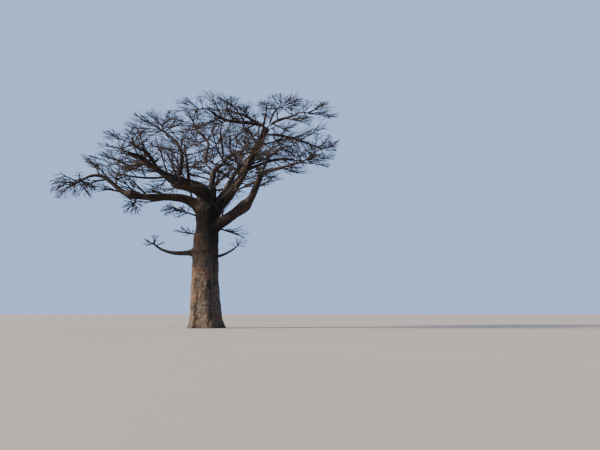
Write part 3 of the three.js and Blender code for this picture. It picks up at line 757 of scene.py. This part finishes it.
def ring_frames(ways):
    """Two directions square to each curve at each of its rings, carried along without twist."""
    start = np.where(np.abs(ways[:, 0, 2:]) < STEEP, UP, (1.0, 0.0, 0.0))
    across = np.empty_like(ways)
    for ring in range(ways.shape[1]):
        way = ways[:, ring]
        start = unit(start - way * np.sum(start * way, axis=1, keepdims=True))
        across[:, ring] = start
    return across, np.cross(across, ways)


def tubes(points, ways, radii, sides, pointed):
    """Tubes along curves as vertices, quads and triangles. A tube that isn't pointed is capped.

    Points and ways are arrays of curves by rings by three."""
    count, rings = points.shape[:2]
    hoops = rings - 1 if pointed else rings
    ends = points[:, -1:] if pointed else points[:, [0, -1]]
    across, side = ring_frames(ways)
    turn = 2 * math.pi * np.arange(sides) / sides
    spokes = across[:, :, None] * np.cos(turn)[:, None] + side[:, :, None] * np.sin(turn)[:, None]
    spots = points[:, :, None] + spokes * radii[:, :, None, None]
    spots = np.concatenate([spots[:, :hoops].reshape(count, -1, 3), ends], axis=1)
    each = spots.shape[1]
    here = np.arange(sides)
    after = (here + 1) % sides
    hoop = (np.arange(hoops - 1) * sides)[:, None]
    quads = np.stack([hoop + here, hoop + after, hoop + after + sides, hoop + here + sides], -1)
    last = (hoops - 1) * sides
    triangles = [] if pointed else [np.column_stack([after, here, np.full(sides, each - 2)])]
    triangles.append(np.column_stack([last + here, last + after, np.full(sides, each - 1)]))
    shift = (np.arange(count) * each)[:, None, None]
    return (
        spots.reshape(-1, 3),
        (quads.reshape(-1, 4)[None] + shift).reshape(-1, 4),
        (np.concatenate(triangles)[None] + shift).reshape(-1, 3),
    )


def twig_tubes(twigs, tube):
    shares = np.arange(tube.rings + 1) / tube.rings
    curves = twigs.controls[:, :, None]
    radii = twigs.radius[:, None] * (1 - shares) ** TWIG_TAPER
    return tubes(bezier(curves, shares), tangents(curves, shares), radii, tube.sides, pointed=True)


def limb_tube(limb, tube):
    """One capped tube along a limb or a stem, with a ring every so far."""
    shares = np.linspace(0, 1, max(3, round(limb.length / tube.step) + 1))
    points = bezier(limb.controls, shares)[None]
    ways = tangents(limb.controls, shares)[None]
    return tubes(points, ways, limb.radius(shares)[None], tube.sides, pointed=False)


def trunk_tube(sides=72, rings=100):
    """The trunk, with level rings and its folds."""
    shares = 0.5 - 0.5 * np.cos(np.linspace(0, math.pi, rings))
    turn = 2 * math.pi * np.arange(sides) / sides
    low = np.exp(-shares * TRUNK_HEIGHT / FLARE_HEIGHT)
    folds = 1 + np.outer(FOLD_DEPTH + FLARE_FOLD_DEPTH * low, np.cos(FOLDS * turn))
    reach = trunk_radius(shares)[:, None] * folds
    spokes = np.stack([np.cos(turn), np.sin(turn), np.zeros(sides)], -1)
    axis = bezier(LIMBS["trunk"].controls, shares)
    level = np.broadcast_to(UP, (1, rings, 3))
    vertices, quads, triangles = tubes(axis[None], level, np.ones((1, rings)), sides, pointed=False)
    vertices[: rings * sides] = (axis[:, None] + spokes[None] * reach[..., None]).reshape(-1, 3)
    return vertices, quads, triangles


def joined(shapes):
    """Several shapes, each vertices, quads and triangles, as one."""
    vertices, quads, triangles = zip(*shapes)
    firsts = np.cumsum([0] + [len(spots) for spots in vertices[:-1]])
    return [np.concatenate(vertices)] + [
        np.concatenate([faces + first for faces, first in zip(group, firsts)])
        for group in (quads, triangles)
    ]


def add_object(name, data):
    made = bpy.data.objects.new(name, data)
    bpy.context.scene.collection.objects.link(made)
    return made


def add_mesh(name, shape, material):
    """A new object from vertices, quads and triangles."""
    vertices, quads, triangles = shape
    corners = np.concatenate([quads.ravel(), triangles.ravel()]).astype(np.int32)
    sizes = np.repeat([4, 3], [len(quads), len(triangles)])
    starts = (np.cumsum(sizes) - sizes).astype(np.int32)
    mesh = bpy.data.meshes.new(name)
    mesh.vertices.add(len(vertices))
    mesh.vertices.foreach_set("co", vertices.astype(np.float32).ravel())
    mesh.loops.add(len(corners))
    mesh.loops.foreach_set("vertex_index", corners)
    mesh.polygons.add(len(starts))
    mesh.polygons.foreach_set("loop_start", starts)
    mesh.update(calc_edges=True)
    mesh.shade_smooth()
    mesh.materials.append(material)
    return add_object(name, mesh)


# Bark


def measure(points, limb, parts=24):
    """For each point: its distance from the limb's surface, how far along the limb it lies, and
    its offset from the limb's axis."""
    shares = np.arange(parts + 1) / parts
    axis = bezier(limb.controls, shares)
    radii = limb.radius(shares)
    reach = radii.max() + RELIEF_REACH
    low, high = axis.min(axis=0) - reach, axis.max(axis=0) + reach
    near = np.flatnonzero(np.all((points > low) & (points < high), axis=1))
    distance, along = np.full(len(points), FAR), np.zeros(len(points))
    offset = np.zeros_like(points)
    for i in range(parts):
        way = axis[i + 1] - axis[i]
        from_start = points[near] - axis[i]
        share = np.clip(from_start @ way / (way @ way), 0, 1)
        here = from_start - share[:, None] * way
        gap = np.linalg.norm(here, axis=1) - (radii[i] + (radii[i + 1] - radii[i]) * share)
        better = gap < distance[near]
        rows = near[better]
        distance[rows] = gap[better]
        along[rows] = (i + share[better]) / parts * limb.length
        offset[rows] = here[better]
    return distance, along, offset


def relief(points, limbs):
    """How far the bark stands out at each point, and how deep in a crease it lies."""
    gaps, alongs, offsets = map(np.array, zip(*[measure(points, limb) for limb in limbs]))
    nearest = gaps.argmin(axis=0)
    rows = np.arange(len(points))
    gap, along, offset = gaps[nearest, rows], alongs[nearest, rows], offsets[nearest, rows]
    axis = unit(np.array([limb.controls[-1] - limb.controls[0] for limb in limbs]))[nearest]
    radius = np.empty(len(points))
    for index, limb in enumerate(limbs):
        own = nearest == index
        radius[own] = limb.radius(np.clip(along[own] / limb.length, 0, 1))
    web = FILLET * np.log(np.exp(-(gaps - gap) / FILLET).sum(axis=0))
    broad = np.minimum(1, radius / FULL_RADIUS)
    shift = axis * (LIMB_SHIFT * nearest)[:, None]
    upright = offset / (GROOVES.width + GROOVES.wider * broad)[:, None]
    upright = upright + axis * (along / GROOVES.length)[:, None] + shift
    grooves = (1 - np.abs(noise(upright, GROOVES.seed))) ** GROOVES.sharpness
    level = offset / WRINKLES.width + axis * (along / WRINKLES.length)[:, None] + shift
    wrinkles = noise(level, WRINKLES.seed)
    lumps = layered(points / LUMPS.size, LUMPS.layers, LUMPS.seed)
    pits = np.clip(noise(points / PITS.size, PITS.seed) - PITS.least, 0, 1)
    out = LUMPS.height * lumps - GROOVES.depth * grooves
    out = out + WRINKLES.height * wrinkles - PITS.depth * pits
    return web + broad * out, np.clip(GROOVE_CREASE * grooves + PIT_CREASE * pits, 0, 1)


def vectors_of(items, name):
    """A vector of each of a mesh's items, such as its vertices' places."""
    found = np.empty(len(items) * 3, np.float32)
    items.foreach_get(name, found)
    return found.reshape(-1, 3).astype(float)


def add_relief(made, limbs):
    """Moves a mesh's vertices out by the bark's relief, and keeps the creases as an attribute."""
    mesh = made.data
    points = vectors_of(mesh.vertices, "co")
    out, crease = relief(points, limbs)
    moved = points + vectors_of(mesh.vertex_normals, "vector") * out[:, None]
    moved[:, 2] = np.maximum(moved[:, 2], 0)
    mesh.vertices.foreach_set("co", moved.astype(np.float32).ravel())
    creases = mesh.attributes.new("crease", "FLOAT", "POINT")
    creases.data.foreach_set("value", crease.astype(np.float32))
    mesh.update()


def fuse(made):
    """Makes one skin of the tubes that a mesh holds, with even faces, and smooths it."""
    remesh = made.modifiers.new("remesh", "REMESH")
    remesh.mode = "VOXEL"
    remesh.voxel_size = VOXEL
    smooth = made.modifiers.new("smooth", "SMOOTH")
    smooth.factor = SMOOTHING_SHARE
    smooth.iterations = SMOOTHING
    graph = bpy.context.evaluated_depsgraph_get()
    mesh = bpy.data.meshes.new_from_object(made.evaluated_get(graph))
    made.modifiers.clear()
    made.data = mesh
    mesh.shade_smooth()


# Materials


def add_node(tree, kind, inputs=(), **settings):
    """A shader node with its settings, and its inputs linked or set."""
    made = tree.nodes.new("ShaderNode" + kind)
    for name, value in settings.items():
        setattr(made, name, value)
    for name, value in dict(inputs).items():
        if isinstance(value, bpy.types.NodeSocket):
            tree.links.new(value, made.inputs[name])
        else:
            made.inputs[name].default_value = value
    return made


def blend(tree, share, first, second):
    """A mix of two colours, each a socket or a plain colour.

    A mix node has sockets of the same names for other kinds, so its sockets go by number."""
    made = add_node(tree, "Mix", {0: share, 6: first, 7: second}, data_type="RGBA")
    return made.outputs[2]


def ranged(tree, value, low, high, start=0, end=1):
    """A value's share of the way from low to high, as start to end."""
    made = add_node(tree, "MapRange", {
        "Value": value, "From Min": low, "From Max": high, "To Min": start, "To Max": end,
    })
    return made.outputs["Result"]


def mottled(tree, place, scale, detail=3, roughness=0.55):
    made = add_node(tree, "TexNoise", {
        "Vector": place, "Scale": scale, "Detail": detail, "Roughness": roughness,
    })
    return made.outputs["Fac"]


def place_in(tree):
    return add_node(tree, "TexCoord").outputs["Object"]


def upright_part(tree, vector):
    return add_node(tree, "SeparateXYZ", {"Vector": vector}).outputs["Z"]


def new_material(name, roughness):
    made = bpy.data.materials.new(name)
    made.use_nodes = True
    shader = made.node_tree.nodes["Principled BSDF"]
    shader.inputs["Specular IOR Level"].default_value = GLOSS
    shader.inputs["Roughness"].default_value = roughness
    return made, shader


def bark_material():
    """Grey-brown bark with coppery and pale patches and dark streaks, painted shade in the creases,
    high up and round the fork, and painted light on its tops.
    """
    made, shader = new_material("bark", BARK_ROUGHNESS)
    tree = made.node_tree
    place = place_in(tree)
    squeezed = add_node(tree, "Mapping", {"Vector": place, "Scale": (1, 1, STREAK_SCALE)})
    streaked = squeezed.outputs["Vector"]

    colour = GREY
    for patch, in_streaks, scale, detail, low, high, most in PATCHES:
        value = mottled(tree, streaked if in_streaks else place, scale, detail)
        colour = blend(tree, ranged(tree, value, low, high, end=most), colour, patch)
    # How deep in a crease the bark lies, which sets the painted shade in the creases
    crease = add_node(tree, "Attribute", attribute_name="crease").outputs["Fac"]
    # The distance from the middle of the painted shadow round the fork
    from_fork_shadow = add_node(tree, "VectorMath", operation="DISTANCE", inputs={
        0: streaked, 1: (FORK_SHADOW_MIDDLE[0], FORK_SHADOW_MIDDLE[1], FORK_SHADOW_MIDDLE[2] * STREAK_SCALE),
    })
    normal = add_node(tree, "NewGeometry").outputs["Normal"]
    # Painted shade in the creases
    colour = blend(tree, ranged(tree, crease, *PAINTED_CREASE_SHADE), colour, DARK)
    # Painted shade of the crown, darker higher up
    colour = blend(tree, ranged(tree, upright_part(tree, place), *PAINTED_CROWN_SHADE), colour, DARK)
    # Painted shadow round the fork
    colour = blend(tree, ranged(tree, from_fork_shadow.outputs["Value"], *ROUND_FORK_SHADOW), colour, DARK)
    # Painted light on bark that faces up
    colour = blend(tree, ranged(tree, upright_part(tree, normal), *PAINTED_TOP_LIGHT), colour, PALE)
    tree.links.new(colour, shader.inputs["Base Color"])

    below = {}
    for in_streaks, scale, detail, roughness, depth in GRAINS:
        height = mottled(tree, streaked if in_streaks else place, scale, detail, roughness)
        bump = add_node(tree, "Bump", {
            "Height": height, "Strength": GRAIN_STRENGTH, "Distance": depth, **below,
        })
        below = {"Normal": bump.outputs["Normal"]}
    tree.links.new(below["Normal"], shader.inputs["Normal"])
    return made


def twig_material():
    made, shader = new_material("twigs", TWIG_ROUGHNESS)
    shader.inputs["Base Color"].default_value = TWIG_COLOUR
    return made


def floor_material():
    made, shader = new_material("floor", FLOOR_ROUGHNESS)
    tree = made.node_tree
    share = ranged(tree, mottled(tree, place_in(tree), FLOOR_PATCH_SCALE), *FLOOR_PATCH_RANGE)
    tree.links.new(blend(tree, share, *FLOOR_COLOURS), shader.inputs["Base Color"])
    return made


# The pieces of the tree


def make_bark(material):
    """The trunk fused with the thick boughs, and the thin boughs as tubes."""
    thick = [limb for limb in LIMBS.values() if limb.root >= THICK]
    thin = [limb for limb in LIMBS.values() if limb.root < THICK]
    thick_tubes = [trunk_tube()] + [limb_tube(limb, THICK_TUBE) for limb in thick[1:]]
    thin_tubes = [limb_tube(limb, THIN_TUBE) for limb in thin]
    trunk = add_mesh("bark", joined(thick_tubes), material)
    fuse(trunk)
    boughs = add_mesh("thin_boughs", joined(thin_tubes), material)
    for made, limbs in ((trunk, thick), (boughs, thin)):
        add_relief(made, limbs)
        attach(made, "root")
        nodes = [limb.name if limb.name == "trunk" else f"bough_{limb.name}" for limb in limbs]
        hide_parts(*nodes)


def grown_from(twigs, tube, levels, in_masses):
    """Twigs and every level of side twigs that grows from them, each with its tubes' shape."""
    grown = [(twigs, tube)]
    for level in levels:
        twigs = side_twigs(twigs, level, in_masses)
        grown.append((twigs, level))
    return grown


def piece_of(name):
    """The piece that the twigs of this mass or bough belong to."""
    return next((piece for piece in PIECES if name.startswith(piece)), PIECES[0])


def add_pieces(ending, carriers, grown, material, stems=()):
    """One object for each part of the crown, with what grows from the masses or boughs in it."""
    homes = np.array([piece_of(carrier.name) for carrier in carriers])
    pieces = {}
    for piece in PIECES:
        shapes = [stem for stem, home in zip(stems, homes) if home == piece]
        for twigs, tube in grown:
            shapes.append(twig_tubes(chosen(twigs, homes[twigs.home] == piece), tube))
        made = add_mesh(f"{piece}_{ending}", joined(shapes), material)
        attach(made, "root")
        pieces[piece] = made
    return pieces


def make_twig_pieces(material):
    """The twigs of the masses, joined by the part of the crown that they fill."""
    leaders, stems = [], []
    for index, space in enumerate(SPACES):
        stem = stem_of(space)
        leaders += leaders_of(space, stem, index)
        stems.append(limb_tube(stem, STEM_TUBE))
    grown = grown_from(together(leaders), LEADER_TUBE, LEVELS, in_masses=True)
    for piece, made in add_pieces("twigs", SPACES, grown, material, stems).items():
        nodes = [f"twigs_{space.name}" for space in SPACES if piece_of(space.name) == piece]
        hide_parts(*nodes)


def make_side_limb_pieces(material):
    """The side limbs with their twigs, joined by the part of the crown that they fill."""
    boughs = [limb for limb in LIMBS.values() if limb.name not in BELOW_CROWN]
    groups = [side_limbs_of(limb, index) for index, limb in enumerate(boughs)]
    side_limbs = together(sum(groups, []))
    side_limbs = chosen(side_limbs, spaced(side_limbs))
    grown = grown_from(side_limbs, SIDE_LIMB_TUBE, SIDE_LIMB_LEVELS, in_masses=False)
    add_pieces("side_limbs", boughs, grown, material)


# The camera, the light and the floor


def make_camera():
    data = bpy.data.cameras.new("camera")
    data.sensor_width = SENSOR_WIDTH
    data.lens = LENS
    data.clip_end = VIEW_DEPTH
    made = add_object("camera", data)
    made.location = (0, -CAMERA_DISTANCE, CAMERA_HEIGHT)
    made.rotation_euler = (math.radians(90 + CAMERA_PITCH), 0, -math.radians(CAMERA_YAW))
    bpy.context.scene.camera = made


def make_sun():
    data = bpy.data.lights.new("sun", "SUN")
    data.energy = SUN_ENERGY
    data.color = SUN_COLOUR
    data.angle = math.radians(SUN_SPREAD)
    made = add_object("sun", data)
    made.rotation_euler = (math.radians(90 - SUN_CLIMB), 0, math.radians(SUN_HEADING + 90))


def make_sky():
    world = bpy.data.worlds.new("world")
    world.use_nodes = True
    shade = world.node_tree.nodes["Background"]
    shade.inputs["Color"].default_value = SKY_COLOUR
    shade.inputs["Strength"].default_value = SKY_STRENGTH
    bpy.context.scene.world = world


def make_floor():
    corners = FLOOR_REACH * np.array([(-1, -1, 0), (1, -1, 0), (1, 1, 0), (-1, 1, 0)])
    square = np.array([[0, 1, 2, 3]])
    shape = (corners - UP * FLOOR_DROP, square, np.empty((0, 3), int))
    add_mesh("floor", shape, floor_material())


make_camera()
make_sun()
make_sky()
make_floor()

TWIG_MATERIAL = twig_material()
make_bark(bark_material())
make_twig_pieces(TWIG_MATERIAL)
make_side_limb_pieces(TWIG_MATERIAL)
